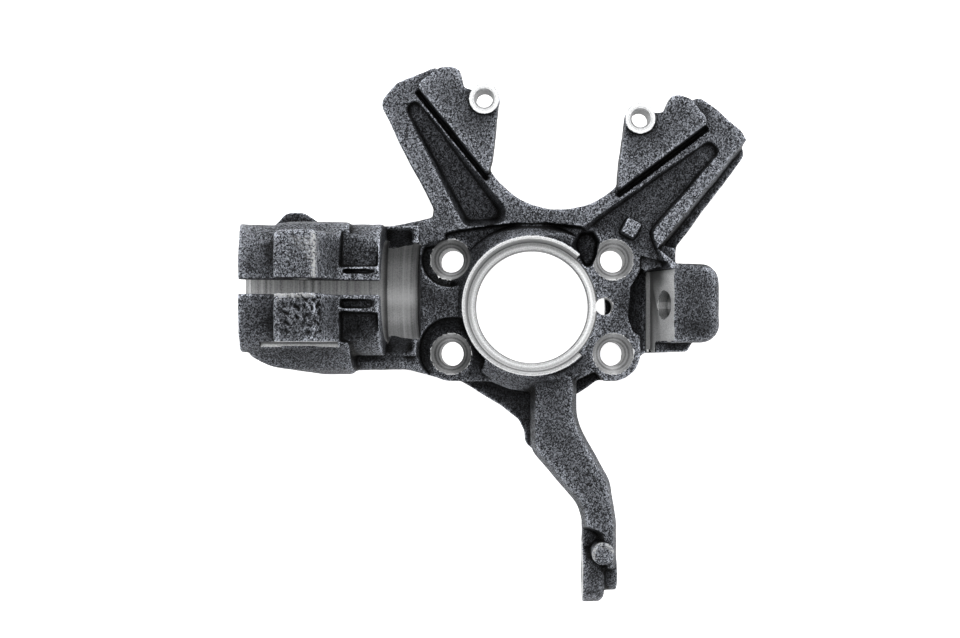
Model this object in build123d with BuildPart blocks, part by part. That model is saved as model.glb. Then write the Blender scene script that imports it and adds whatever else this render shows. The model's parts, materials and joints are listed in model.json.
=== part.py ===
from build123d import *
from math import cos, radians, sin, tan
import os

# Front steering knuckle of a compact car: one ductile-iron casting with machined seats. Millimetres.
# The hub axis is Z. Z = 0 is the outboard bearing face and +Z points inboard.
# -X is up the car (strut clamp), +X is down (ball joint), +Y the caliper side, -Y the track rod side.

# ---- Hub, its collar and the bearing seat ----
axle_bore_radius = 32.5
bearing_seat_radius = 43.5
bearing_seat_depth = 16.0
hub_ring_radius = 49.5
land_height = 23.0
counterbore_radius = 37.8
collar_rim_radius = 40.0
collar_foot_radius = 47.5
collar_height = 39.5
collar_start_angle = 47.0
collar_sweep = 268.0
collar_fade_x = 33.0
boss_scoop = (-45.5, -25.5)
boss_scoop_radius = 19.5

# ---- Flange, the thin saddle that joins it to the fork, and the hub bolts ----
flange_height = 25.5
saddle_bottom = 4.0
saddle_height = 12.0
fork_step = 10.0
bolt_spacing_x = 94.0
bolt_spacing_y = 54.6
bolt_hole_radius = 7.0
bolt_seat_radius = 11.4
bolt_boss_radius = 15.8

# ---- Wheel speed sensor hole ----
sensor_hole_radius = 4.9
sensor_hole_x = 42.0
sensor_hole_floor = 7.0

# ---- Caliper fork: a frame whose +Y points out between the two arms ----
caliper_centre = (17.3, 112.8)
caliper_turn = -7.2
fork_bottom = 8.0
rib_height = 31.0
plate_bottom = 29.0
plate_height = 38.5
pin_boss_height = 41.0
pin_spacing = 89.2
pin_offset = -1.1
pin_boss_radius = 8.7
pin_hole_radius = 4.65
piston_gap_radius = 41.2
piston_gap_offset = -15.8
pocket_draft = 24.0
horn_bottom = -14.0
rail_length = 176.0
rail_width = 9.0
rail_depth = 12.0

# ---- Strut clamp: the bore axis leans inboard towards its open end ----
strut_point = (-80.0, 8.0, 45.0)
strut_lean = 10.0
strut_bore_radius = 28.1
strut_stop_radius = 27.5
strut_seat_from = 0.2
barrel_inner_end = -16.0
barrel_outer_end = 81.0
barrel_size = 69.0
barrel_hub_size = 73.0
barrel_corner = 24.0
slit_width = 7.6
window_x = -81.5
window_end_x = -67.5
trough_depth = 13.0
trough_half_width = 24.5
trough_draft = 30.0
window_rail_height = 49.0
ear_top = 104.0
pinch_x = -121.0
pinch_z = 90.0
pinch_hole_radius = 6.2
pinch_face_y = -21.0
pinch_floor = 79.0

# ---- Ball joint boss: the stud axis leans like the strut, the other way up the boss ----
stud_point = (77.2, 1.3, 20.0)
stud_lean = 22.5
stud_hole_radius = 7.9
ball_boss_thickness = 30.0
ball_boss_width = 46.0
ball_boss_height = 40.0
ball_boss_corner = 11.0
ball_seat_floor = 4.0
boss_valley_x = 97.0
boss_valley_floor = 27.5
boss_valley_radius = 30.0
neck_height = 10.0
neck_bottom = -4.0

# ---- Steering arm and track rod eye ----
arm_lean = 3.0
arm_parting = 18.0
arm_half_height = 12.0
arm_draft = 14.0
eye_point = (29.0, -154.5, 20.0)
eye_radius = 17.0
eye_flange_width = 12.5
eye_width = 20.0
eye_hub_radius = 10.5
rod_hole_radius = 6.3
stub_point = (40.4, -140.7)
stub_radius = 6.5
stub_height = 41.0

# ---- Splash shield screws, from the outboard side ----
shield_screw_radius = 2.5
shield_screw_depth = 12.0
shield_screws = ((-20.0, 49.5), (-52.0, 0.0), (14.0, -52.0))

# ---- How far a cut that leaves the casting runs on ----
clear = 80.0

# ---- Arm pockets: tip and root in the caliper frame, with the height of the floor at each ----
left_pocket_tip, left_pocket_root = (-87.0, -6.5, 28.5), (-35.5, -68.5, 21.0)
right_pocket_tip, right_pocket_root = (89.5, -8.5, 28.0), (44.0, -63.0, 25.5)
ledge_height = 13.0
ledge_width = 3.5
plate_groove_width = 2.3
plate_groove_floor = 28.0

caliper_plane = Plane(origin=(*caliper_centre, 0)).rotated((0, 0, caliper_turn))
strut_plane = Plane(
    origin=strut_point,
    x_dir=(0, 1, 0),
    z_dir=(-cos(radians(strut_lean)), 0, sin(radians(strut_lean))),
)
stud_plane = Plane(
    origin=stud_point,
    x_dir=(0, 1, 0),
    z_dir=(-cos(radians(stud_lean)), 0, sin(radians(stud_lean))),
)
ledge_plane = Plane(
    origin=caliper_plane.from_local_coords(Vector(111.9, -6.8, 0)),
    x_dir=caliper_plane.from_local_coords(Vector(0.851, -0.526, 0)) - caliper_plane.origin,
    z_dir=caliper_plane.from_local_coords(Vector(-0.526, -0.851, 0)) - caliper_plane.origin,
)


def pocket_plane(tip, root):
    """The sloping floor of an arm pocket: X runs from its tip to its root."""
    start = caliper_plane.from_local_coords(Vector(*tip))
    run = caliper_plane.from_local_coords(Vector(*root)) - start
    across = Vector(0, 0, 1).cross(run)
    return Plane(origin=start, x_dir=run, z_dir=run.cross(across))


# ---- Flange: the hull of four bolt bosses, notched beside the ball joint and the steering arm ----
with BuildPart() as flange:
    with BuildSketch():
        with GridLocations(bolt_spacing_x, bolt_spacing_y, 2, 2):
            Circle(bolt_boss_radius)
        make_hull()
    extrude(amount=flange_height)
    with BuildSketch():
        Circle(hub_ring_radius)
    extrude(amount=bearing_seat_depth + 4)
    with BuildSketch(Plane.XY.offset(saddle_bottom)):
        with BuildLine():
            Polyline(
                (-62, 36), (-62, 46), (-20, 50), (16, 51), (40, 47), (62, 37), (84, 27), (84, 20), (62, 20),
                (50, 36), close=True,
            )
        make_face()
    extrude(amount=saddle_height - saddle_bottom)
    with BuildSketch(Plane.XY.offset(fork_step)):
        with BuildLine():
            FilletPolyline((-48, 38), (-40, 46.5), (-20, 50), (16, 51), (36, 46), (46, 38), radius=4)
            Line((46, 38), (-48, 38))
        make_face()
    extrude(amount=flange_height - fork_step)
    with BuildSketch(Plane.XY.offset(neck_height)):
        with BuildLine():
            FilletPolyline(
                (80, 23), (64, 23), (57, 11), (56, -6), (58.5, -14), (66.5, -20), (80, -20),
                radius=3,
            )
            Line((80, -20), (80, 23))
        make_face()
        with BuildLine():
            FilletPolyline((24, -50), (25.5, -43), (36.6, -37.5), (43, -44), (43, -50), radius=2)
            Line((43, -50), (24, -50))
        make_face()
    extrude(amount=flange_height, mode=Mode.SUBTRACT)
    with BuildSketch(Plane.XY.offset(saddle_bottom)):
        with BuildLine():
            Polyline((56, 42), (83.5, 34), (83.5, 24.5), (75, 23.5), (65.5, 20.5), (60, 26), close=True)
        make_face()
    extrude(amount=flange_height - 2 - saddle_bottom)

# ---- Collar: a coned ring round the hub, left open beside the ball joint ----
with BuildPart() as collar:
    with BuildSketch(Plane.XZ.rotated((0, 0, collar_start_angle))):
        with BuildLine():
            Polyline(
                (axle_bore_radius, flange_height - 4),
                (collar_foot_radius + 2, flange_height - 4),
                (collar_foot_radius, flange_height + 3),
                (collar_rim_radius, collar_height),
                (axle_bore_radius, collar_height),
                close=True,
            )
        make_face()
    revolve(axis=Axis.Z, revolution_arc=collar_sweep)
    with BuildSketch(Plane.XZ):
        with BuildLine():
            Polyline(
                (2, collar_height + 1), (collar_fade_x, flange_height - 1), (60, flange_height - 1),
                (60, collar_height + 1), close=True,
            )
        make_face()
    extrude(amount=clear, both=True, mode=Mode.SUBTRACT)
    with BuildSketch(Plane.XZ.rotated((0, 0, collar_start_angle))):
        with BuildLine():
            Polyline(
                (axle_bore_radius, flange_height - 4), (collar_rim_radius + 1.6, flange_height - 4),
                (collar_rim_radius, collar_height), (axle_bore_radius, collar_height), close=True,
            )
        make_face()
    revolve(axis=Axis.Z, revolution_arc=collar_sweep)

# ---- Bridge: the high web between the collar and the strut clamp ----
with BuildPart() as bridge:
    with BuildSketch(Plane.XY.offset(4)):
        with Locations((-53, 4)):
            Rectangle(32, 68)
        with Locations((-bolt_spacing_x / 2, bolt_spacing_y / 2)):
            Circle(bolt_boss_radius + 0.5, mode=Mode.SUBTRACT)
    extrude(amount=32)

# ---- Fork: root and two pocketed arms, drawn in the caliper frame ----
with BuildPart() as fork:
    with BuildSketch(caliper_plane.offset(fork_bottom)):
        with BuildLine():
            FilletPolyline(
                (-66, -82), (-66, -65.5), (-81, -44), (-93.6, -25.4), (-104.5, -9),
                (-97, 3.5), (-75, 16), (-62, 8), (-56, -8), (-40, -22), (-37, -38.5),
                radius=[3, 40, 60, 7, 8, 6, 6, 6, 6],
            )
            FilletPolyline(
                (37, -38.5), (40, -22), (56, -8), (62, 8), (77, 17.5), (89, 11.5),
                (104, 1.5), (111, -8.5), (77, -67.5), (78, -79),
                radius=[6, 6, 6, 6, 8, 10, 7, 6],
            )
            ThreePointArc((-37, -38.5), (0, piston_gap_offset - piston_gap_radius), (37, -38.5))
            ThreePointArc((78, -79), (44, -74), (20, -65))
            ThreePointArc((20, -65), (-8, -66.5), (-66, -82))
        make_face()
    extrude(amount=rib_height - fork_bottom)
    with BuildSketch(pocket_plane(left_pocket_tip, left_pocket_root)):
        with BuildLine():
            FilletPolyline(
                (74, -8), (1, -3.4), (1, 3.4), (79, 9.5), (82, 6.5), radius=[2, 3, 3, 3, 2], close=True
            )
        make_face()
    extrude(amount=15, taper=-pocket_draft, mode=Mode.SUBTRACT)
    with BuildSketch(pocket_plane(right_pocket_tip, right_pocket_root)):
        with BuildLine():
            FilletPolyline(
                (110, -14), (78, -13.5), (1, -3.2), (1, 4.2), (62, 10.5), (80, 60), (110, 60),
                radius=[4, 4, 3, 3, 8, 4, 4], close=True,
            )
        make_face()
    extrude(amount=15, taper=-pocket_draft, mode=Mode.SUBTRACT)
    with BuildSketch(ledge_plane):
        with BuildLine():
            Polyline(
                (-6.5, rib_height + 1), (-ledge_width, ledge_height), (9, ledge_height),
                (9, rib_height + 1), close=True,
            )
        make_face()
    extrude(amount=80, mode=Mode.SUBTRACT)

# ---- Plates with the guide pin lugs, and the horns that carry the brake pad, one on each arm ----
with BuildPart() as plates:
    with BuildSketch(caliper_plane.offset(plate_bottom)):
        with BuildLine():
            FilletPolyline(
                (35.6, -34), (37, -44), (83.4, 1.2), (82.6, 5), (72.5, 14.8),
                (65.5, 16.4), (60.2, 14.6), (57, 5.4), (50, 4), (36, -2),
                radius=[3, 1.5, 2, 1.5, 4, 4, 3, 2.5, 2, 2], close=True,
            )
        make_face()
        with Locations((pin_spacing / 2, pin_offset)):
            Circle(pin_boss_radius)
        mirror(about=Plane.YZ)
    extrude(amount=plate_height - plate_bottom, taper=4)
    with BuildSketch(caliper_plane.offset(plate_bottom)):
        with Locations((-pin_spacing / 2, pin_offset), (pin_spacing / 2, pin_offset)):
            Circle(pin_boss_radius)
    extrude(amount=pin_boss_height - plate_bottom)

with BuildPart() as horns:
    with BuildSketch(caliper_plane.offset(horn_bottom)):
        with BuildLine():
            FilletPolyline(
                (79, 8), (89, 8), (99, 0.5), (103, -9), (95, -19), (79, -14),
                radius=[3, 4, 4, 5, 5, 3], close=True,
            )
        make_face()
        mirror(about=Plane.YZ)
    extrude(amount=rib_height - 3 - horn_bottom)

# ---- Square pad on the root of the right arm ----
with BuildPart() as square_pad:
    with BuildSketch(Plane.XY.offset(20)):
        with Locations(Location((56.9, 45), 61)):
            RectangleRounded(11.4, 10.4, 1.5)
    extrude(amount=14.5, taper=4)

# ---- Strut clamp: a tapered barrel, its belt and the two pinch ears ----
with BuildPart() as barrel:
    with BuildSketch(strut_plane.offset(barrel_inner_end)):
        RectangleRounded(barrel_hub_size, barrel_hub_size, barrel_corner)
    with BuildSketch(strut_plane.offset(barrel_outer_end)):
        RectangleRounded(barrel_size, barrel_size, barrel_corner)
    loft()

with BuildPart() as belt:
    with BuildSketch(Plane.YZ.offset(-153)):
        with BuildLine():
            FilletPolyline(
                (4, 26), (-24, 27), (-36, 38), (-38.8, 54), (-35.5, 66), (-24.5, 77.2), (-21, 84), (4, 86),
                (36, 84), (43, 74), (45.5, 58), (43, 40), (32, 28),
                radius=[5, 5, 5, 5, 5, 2, 3, 5, 5, 5, 5, 5, 5], close=True,
            )
        make_face()
    extrude(amount=55)
    with BuildSketch():
        with BuildLine():
            FilletPolyline(
                (-153, 8), (-153, -28), (-143, -34), (-116, -38.6), (-98, -38.6), (-98, 46), (-134, 46),
                (-144, 36), (-144, 8),
                radius=[1, 6, 20, 3, 3, 6, 6, 1, 1], close=True,
            )
        make_face()
    extrude(amount=100, mode=Mode.INTERSECT)

with BuildPart() as ears:
    with BuildSketch(Plane.XZ.offset(-37)):
        with BuildLine():
            Polyline(
                (-137, 64), (-133, ear_top), (-112, ear_top), (-101, 80), (-98, 64), close=True
            )
        make_face()
    extrude(amount=61)
    fillet(edges().filter_by(Axis.Y).group_by(Axis.Z)[-1], 2)
    fillet(edges().group_by(Axis.Y)[-1].filter_by(Axis.X).sort_by(Axis.Z)[-1], 4)

with BuildPart() as head_lug:
    with BuildSketch(Plane.XY.offset(42)):
        with BuildLine():
            FilletPolyline(
                (-149, 30), (-149, 42), (-139, 52.8), (-129, 52.8), (-117, 45), (-117, 30),
                radius=[4, 7, 7, 8],
            )
            Line((-117, 30), (-149, 30))
        make_face()
    extrude(amount=28, taper=6)

# ---- Gussets: the lower and upper flanks of the clamp run down to the flange ----
with BuildPart() as lower_gusset:
    with BuildSketch(Plane.YZ.offset(-98)):
        with Locations((-30, 38)):
            RectangleRounded(13, 26, 6)
    with BuildSketch(Plane.YZ.offset(-72)):
        with Locations((-29, 29)):
            RectangleRounded(14, 36, 6)
    with BuildSketch(Plane.YZ.offset(-48)):
        with Locations((-36, 14.5)):
            RectangleRounded(14, 23, 6)
    loft(ruled=True)

with BuildPart() as upper_gusset:
    with BuildSketch(Plane.YZ.offset(-84)):
        with Locations((36, 30)):
            RectangleRounded(16, 34, 4)
    with BuildSketch(Plane.YZ.offset(-50)):
        with Locations((45, 17.5)):
            RectangleRounded(16, 27, 4)
    loft()

# ---- Ball joint boss on its neck ----
with BuildPart() as neck:
    with BuildSketch(Plane.XY.offset(neck_bottom)):
        with BuildLine():
            FilletPolyline(
                (45, 16), (66, 25), (94, 22), (95, -21), (92, -26), (66, -26.6), (58, -36), (45, -20),
                radius=[6, 4, 3, 2, 4, 4],
            )
            Line((45, -20), (45, 16))
        make_face()
    extrude(amount=neck_height - neck_bottom)

with BuildPart() as ball_boss:
    with BuildSketch(stud_plane.offset(3)):
        with Locations((0.9, 1)):
            RectangleRounded(ball_boss_width, ball_boss_height, ball_boss_corner)
    extrude(amount=-ball_boss_thickness - 3)
    fillet(faces().sort_by(Axis(stud_plane.origin, stud_plane.z_dir))[0].edges(), 10)

# ---- Steering arm: a drafted, S-shaped beam with the track rod eye at its end ----
arm_plane = Plane(origin=(0, 0, arm_parting)).rotated((-arm_lean, 0, 0))
with BuildPart() as steering_arm:
    with BuildSketch(arm_plane):
        with BuildLine():
            FilletPolyline(
                (-1, -38), (-1, -83), (26.5, -115), (29.4, -128.5), (38, -132), (40, -153),
                (49, -153), (49, -124), (45.5, -101), (26, -66), (26, -38),
                radius=[14, 18, 2, 3, 3, 3, 30, 30, 30],
            )
            Line((26, -38), (-1, -38))
        make_face()
    extrude(amount=arm_half_height, both=True, taper=arm_draft)

with BuildPart() as arm_webs:
    with BuildSketch(Plane.XY.offset(2)):
        with BuildLine():
            FilletPolyline(
                (-50, -36), (-42, -43.5), (-19, -57.5), (-8, -66), (-4.5, -73), (-3.7, -80), (4, -87),
                (12, -84), (12, -36),
                radius=[4, 20, 2, 4, 5, 5, 4],
            )
            Line((12, -36), (-50, -36))
        make_face()
        with BuildLine():
            Polyline((20, -36), (24, -53), (27, -51), (39.5, -42.6), (47, -40), (47, -36), close=True)
        make_face()
    extrude(amount=8)
    with BuildSketch(Plane.XY.offset(2)):
        with BuildLine():
            Polyline((-50, -36), (-42, -43), (-14, -43), (2, -50), (2, -36), close=True)
        make_face()
    extrude(amount=16)

with BuildPart() as rod_eye:
    with BuildSketch(Plane.YZ.offset(eye_point[0])):
        with Locations(eye_point[1:]):
            Circle(eye_radius)
    extrude(amount=eye_flange_width)
    chamfer(edges().group_by(Axis.X)[-1], 2.5)
    with BuildSketch(Plane.YZ.offset(eye_point[0])):
        with Locations(eye_point[1:]):
            Circle(eye_hub_radius)
    extrude(amount=eye_width)
    with BuildSketch(Plane.XY.offset(7)):
        with Locations((36, -138)):
            Rectangle(13, 26)
    extrude(amount=19)
    with BuildSketch(Plane.XY.offset(20)):
        with Locations(stub_point):
            Circle(stub_radius)
    extrude(amount=stub_height - 20)
    chamfer(edges().group_by(Axis.Z)[-1], 0.8)

# ---- Everything that is cast or machined away ----
with BuildPart() as cuts:
    # Window between the clamp and the hub, with its drafted trough
    with BuildSketch(Plane.XY.offset(window_rail_height)):
        with Locations((window_x, strut_point[1])):
            Rectangle(window_end_x + 28 - window_x, 100, align=(Align.MIN, Align.CENTER))
    extrude(amount=clear)
    trough_floor = strut_point[2] - trough_depth
    trough_rise = window_rail_height + 1 - trough_floor
    trough_top_half = trough_half_width + trough_rise * tan(radians(trough_draft))
    with BuildSketch(Plane.YZ.offset(window_x)):
        with BuildLine():
            Polyline(
                (strut_point[1] - trough_half_width, trough_floor),
                (strut_point[1] + trough_half_width, trough_floor),
                (strut_point[1] + trough_top_half, trough_floor + trough_rise),
                (strut_point[1] - trough_top_half, trough_floor + trough_rise),
                close=True,
            )
        make_face()
    extrude(amount=window_end_x - window_x)

    # Groove along the foot of each plate
    with BuildSketch(caliper_plane.offset(plate_groove_floor)):
        with BuildLine():
            foot = Line((37, -44), (83.4, 1.2))
            groove_side = foot @ 0 + (foot % 0).rotate(Axis.Z, -90) * plate_groove_width
            Polyline(foot @ 1, foot @ 1 + groove_side - foot @ 0, groove_side, foot @ 0)
        make_face()
        mirror(about=Plane.YZ)
    extrude(amount=clear)

    # Scoop over the upper bolt on the track rod side, and the pocket beside the collar's end
    with BuildSketch(Plane.XY.offset(flange_height)):
        with Locations(boss_scoop):
            Circle(boss_scoop_radius)
    extrude(amount=clear)
    with BuildSketch(Plane.XY.offset(land_height - 5)):
        with BuildLine():
            FilletPolyline(
                (25.5, 36), (28.5, 42.5), (35, 43), (38, 38), (36.5, 29), (32.5, 23), (30, 26),
                radius=2, close=True,
            )
        make_face()
    extrude(amount=30, taper=-10)

    # Pockets cast in the clamp between its ears and the window
    with BuildSketch(Plane.XY.offset(78)):
        with Locations((-92, 29.5)):
            Rectangle(19, 20)
        with Locations((-92, -13)):
            Rectangle(19, 15)
    extrude(amount=20, taper=-8)
    with BuildSketch(Plane.XY.offset(81)):
        with Locations((-92, 16.6)):
            Rectangle(17, 2.2)
        with Locations((-93, -0.6)):
            Rectangle(17, 4.4)
    extrude(amount=20)

    # Strut bore, its relief and the slit
    with BuildSketch(strut_plane.offset(-17.6)):
        Circle(strut_stop_radius)
    extrude(amount=30)
    with BuildSketch(strut_plane.offset(strut_seat_from)):
        Circle(strut_bore_radius)
    extrude(amount=barrel_outer_end)
    with BuildSketch(strut_plane.offset(barrel_outer_end)):
        Circle(strut_bore_radius + 3)
    extrude(amount=-3, taper=45)
    with BuildSketch(Plane.XY.offset(58)):
        with Locations((-125, strut_point[1])):
            Rectangle(100, slit_width)
    extrude(amount=clear)

    # Pinch bolt: milled face, clearance hole in the lower ear, thread in the upper one
    with BuildSketch(Plane.XY.offset(pinch_floor)):
        with Locations((-124, pinch_face_y)):
            Rectangle(42, 40, align=(Align.CENTER, Align.MAX))
    extrude(amount=clear)
    with BuildSketch(Plane.XZ.offset(-strut_point[1])):
        with Locations((pinch_x, pinch_z)):
            Circle(pinch_hole_radius)
    extrude(amount=clear)
    with BuildSketch(Plane.XZ.offset(-strut_point[1])):
        with Locations((pinch_x, pinch_z)):
            Circle(pinch_hole_radius - 1)
    extrude(amount=-clear)

    # Hub: bearing seat, axle bore and inboard counterbore
    with BuildSketch():
        Circle(bearing_seat_radius)
    extrude(amount=bearing_seat_depth)
    with BuildSketch():
        Circle(axle_bore_radius)
    extrude(amount=clear)
    with BuildSketch(Plane.XY.offset(land_height)):
        Circle(counterbore_radius)
    extrude(amount=clear)
    with Locations((0, 0, flange_height)):
        with GridLocations(bolt_spacing_x, bolt_spacing_y, 2, 2):
            CounterSinkHole(bolt_hole_radius, bolt_seat_radius, flange_height - neck_bottom + 1, 90, mode=Mode.ADD)
    with BuildSketch(Plane.XY.offset(sensor_hole_floor)):
        with Locations((sensor_hole_x, 0.3)):
            Circle(sensor_hole_radius)
    extrude(amount=clear)

    # Ball joint: milled seat and stud hole
    with BuildSketch(Plane.XZ.offset(-21.6)):
        with BuildLine():
            seat_rise = 60 * tan(radians(stud_lean))
            seat_foot = stud_point[0] - (stud_point[2] - ball_seat_floor) * tan(radians(stud_lean))
            Polyline(
                (seat_foot - 3, ball_seat_floor), (seat_foot, ball_seat_floor),
                (seat_foot + seat_rise, ball_seat_floor + 60), (seat_foot - 3, ball_seat_floor + 60),
                close=True,
            )
        make_face()
    extrude(amount=60)
    with BuildSketch(stud_plane.offset(12)):
        Circle(stud_hole_radius)
    extrude(amount=-clear)

    # Shallow valley across the inboard side of the ball joint boss
    with BuildSketch(Plane.XZ):
        with Locations((boss_valley_x, boss_valley_floor + boss_valley_radius)):
            Circle(boss_valley_radius)
    extrude(amount=ball_boss_width, both=True)

    # Guide pin holes and the pad rails in the horns
    with BuildSketch(caliper_plane.offset(plate_bottom - 5)):
        with Locations((-pin_spacing / 2, pin_offset), (pin_spacing / 2, pin_offset)):
            Circle(pin_hole_radius)
    extrude(amount=30)
    with BuildSketch(caliper_plane.offset(horn_bottom)):
        with Locations((0, -1)):
            Rectangle(rail_length, rail_width)
    extrude(amount=rail_depth)

    # Splash shield screws, tapped from the outboard side
    with BuildSketch():
        with Locations(*shield_screws):
            Circle(shield_screw_radius)
    extrude(amount=shield_screw_depth)

    # Track rod hole
    with BuildSketch(Plane.YZ.offset(eye_point[0] - 5)):
        with Locations(eye_point[1:]):
            Circle(rod_hole_radius)
    extrude(amount=eye_width + 10)

# ---- The casting ----
with BuildPart() as steering_knuckle:
    for form in (
        flange, bridge, barrel, belt, ears, head_lug, lower_gusset, upper_gusset, neck, ball_boss,
        arm_webs, steering_arm, rod_eye, fork, plates, horns, square_pad, collar,
    ):
        add(form.part)
    add(cuts.part, mode=Mode.SUBTRACT)

steering_knuckle.part.label = "steering_knuckle"
os.makedirs("parts", exist_ok=True)
export_step(steering_knuckle.part, "parts/steering_knuckle.step")
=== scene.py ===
import json
import math

import bmesh
import bpy
import numpy as np
from bpy.props import FloatProperty, FloatVectorProperty, IntProperty, PointerProperty
from bpy.types import Operator, Panel, PropertyGroup
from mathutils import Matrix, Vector
from mathutils.bvhtree import BVHTree


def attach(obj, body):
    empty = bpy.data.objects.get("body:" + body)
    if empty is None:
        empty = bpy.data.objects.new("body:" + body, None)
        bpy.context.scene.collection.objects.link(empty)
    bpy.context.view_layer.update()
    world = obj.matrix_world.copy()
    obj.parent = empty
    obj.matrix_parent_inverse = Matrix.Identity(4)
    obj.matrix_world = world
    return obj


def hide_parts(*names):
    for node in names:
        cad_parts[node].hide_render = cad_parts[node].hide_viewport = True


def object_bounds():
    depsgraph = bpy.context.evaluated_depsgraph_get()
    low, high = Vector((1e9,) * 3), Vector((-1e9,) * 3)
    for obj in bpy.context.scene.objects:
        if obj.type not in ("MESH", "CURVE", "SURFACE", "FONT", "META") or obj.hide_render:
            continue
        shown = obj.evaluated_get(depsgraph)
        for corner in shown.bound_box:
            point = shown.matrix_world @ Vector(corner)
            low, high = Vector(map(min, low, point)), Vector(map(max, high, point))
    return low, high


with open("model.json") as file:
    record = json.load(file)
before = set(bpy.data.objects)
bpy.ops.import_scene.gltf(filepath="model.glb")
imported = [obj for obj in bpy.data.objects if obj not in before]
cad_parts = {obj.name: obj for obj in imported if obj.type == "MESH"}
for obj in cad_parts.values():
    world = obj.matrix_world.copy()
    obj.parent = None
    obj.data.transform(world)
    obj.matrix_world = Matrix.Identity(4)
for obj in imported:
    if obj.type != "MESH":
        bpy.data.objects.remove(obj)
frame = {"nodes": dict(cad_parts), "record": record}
CAD_BOUNDS = [list(corner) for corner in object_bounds()]

bl_info = {
    "name": "Steering Knuckle",
    "version": (1, 0, 0),
    "blender": (4, 5, 0),
    "location": "3D View > Sidebar > Knuckle",
    "description": "Sand-cast steering knuckle with machined bores and seats",
    "category": "Object",
}

NODE = "steering_knuckle"
MM = 0.001
MOUNTS = {mount["name"]: mount for mount in frame["record"]["mounts"]}


# ---- Settings ----

class KnuckleCasting(PropertyGroup):
    """Sizes and colours of the casting."""

    voxel: FloatProperty(
        name="Skin Resolution", description="Edge of the voxels that the casting's skin is rebuilt from",
        default=0.65 * MM, min=0.4 * MM, unit="LENGTH", precision=5,
    )
    rounding: IntProperty(
        name="Edge Rounding", description="Smoothing passes that round the cast edges", default=10, min=0
    )
    lump_height: FloatProperty(
        name="Lump Height", description="Height of the casting's slow waves",
        default=0.16 * MM, min=0.0, unit="LENGTH", precision=5,
    )
    crumb_depth: FloatProperty(
        name="Crumb Depth", description="Depth of the rough patch on the pinch ear",
        default=0.9 * MM, min=0.0, unit="LENGTH", precision=5,
    )
    triangles: IntProperty(
        name="Triangles", description="Upper count of the skin's triangles, before the cuts",
        default=155000, min=20000,
    )
    skin: FloatVectorProperty(
        name="Skin", description="Colour of the blasted cast skin",
        subtype="COLOR", size=4, min=0.0, max=1.0, default=(0.056, 0.059, 0.066, 1.0),
    )
    faced: FloatVectorProperty(
        name="Faced", description="Colour of the flat faces that are cut clean",
        subtype="COLOR", size=4, min=0.0, max=1.0, default=(0.55, 0.555, 0.56, 1.0),
    )
    bored: FloatVectorProperty(
        name="Bored", description="Colour of the bores and of the coned bolt seats",
        subtype="COLOR", size=4, min=0.0, max=1.0, default=(0.31, 0.313, 0.317, 1.0),
    )
    milled: FloatVectorProperty(
        name="Milled", description="Colour of the slit's walls and of the ball joint seat",
        subtype="COLOR", size=4, min=0.0, max=1.0, default=(0.6, 0.607, 0.615, 1.0),
    )


class KnuckleStage(PropertyGroup):
    """Camera, lamps and floor."""

    camera_height: FloatProperty(
        name="Camera Height", description="Height of the camera over the bearing face",
        default=705 * MM, unit="LENGTH",
    )
    focal_length: FloatProperty(
        name="Focal Length", description="Focal length on a 36 mm sensor, in millimetres", default=43.965
    )
    key_strength: FloatProperty(
        name="Key Strength", description="Power of the broad lamp over the camera, in watts", default=5.6
    )
    rim_strength: FloatProperty(
        name="Rim Strength", description="Power of each low lamp round the object, in watts", default=4.6
    )
    world_strength: FloatProperty(
        name="World Strength", description="Light that comes evenly from all round", default=0.06
    )


# ---- Geometry helpers ----

def unit(vector):
    """A vector scaled to length one."""
    vector = np.asarray(vector, float)
    return vector / np.linalg.norm(vector)


def cross_axes(axis):
    """Two unit vectors that stand square to the axis and to each other."""
    helper = np.array((0.0, 1.0, 0.0)) if abs(axis[1]) < 0.9 else np.array((1.0, 0.0, 0.0))
    first = unit(np.cross(helper, axis))
    return first, np.cross(axis, first)


def turned_solid(start, axis, profile, sides=128, spacing=3 * MM):
    """Closed solid of revolution: each (radius, height) of the profile becomes a ring about the axis,
    start + height * axis + radius * (cos a, sin a), and flat caps close both ends. Stretches of the
    profile that are longer than the spacing get rings in between."""
    axis = unit(axis)
    profile = np.array(profile)
    counts = np.maximum(1, np.ceil(np.linalg.norm(np.diff(profile, axis=0), axis=1) / spacing)).astype(int)
    stretches = [np.linspace(a, b, n, endpoint=False) for a, b, n in zip(profile, profile[1:], counts)]
    profile = np.concatenate(stretches + [profile[-1:]])
    first, second = cross_axes(axis)
    angle = np.linspace(0, 2 * math.pi, sides, endpoint=False)
    circle = np.outer(np.cos(angle), first) + np.outer(np.sin(angle), second)
    rings = [np.asarray(start) + height * axis + radius * circle for radius, height in profile]
    points = np.concatenate(rings)
    index = np.arange(sides)
    beside = np.roll(index, -1)
    walls = [
        np.stack((index + k * sides, beside + k * sides, beside + (k + 1) * sides, index + (k + 1) * sides), 1)
        for k in range(len(rings) - 1)
    ]
    caps = [index[::-1].tolist(), (index + (len(rings) - 1) * sides).tolist()]
    return points, np.concatenate(walls).tolist() + caps


def make_object(name, points, faces):
    """Mesh object from points and faces, with its normals turned outwards."""
    mesh = bpy.data.meshes.new(name)
    mesh.from_pydata(points.tolist(), [], faces)
    built = bmesh.new()
    built.from_mesh(mesh)
    bmesh.ops.recalc_face_normals(built, faces=built.faces)
    built.to_mesh(mesh)
    built.free()
    piece = bpy.data.objects.new(name, mesh)
    bpy.context.scene.collection.objects.link(piece)
    return piece


def vertex_array(mesh):
    """Vertex places as an array of rows."""
    places = np.empty(len(mesh.vertices) * 3, np.float32)
    mesh.vertices.foreach_get("co", places)
    return places.reshape(-1, 3).astype(float)


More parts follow.
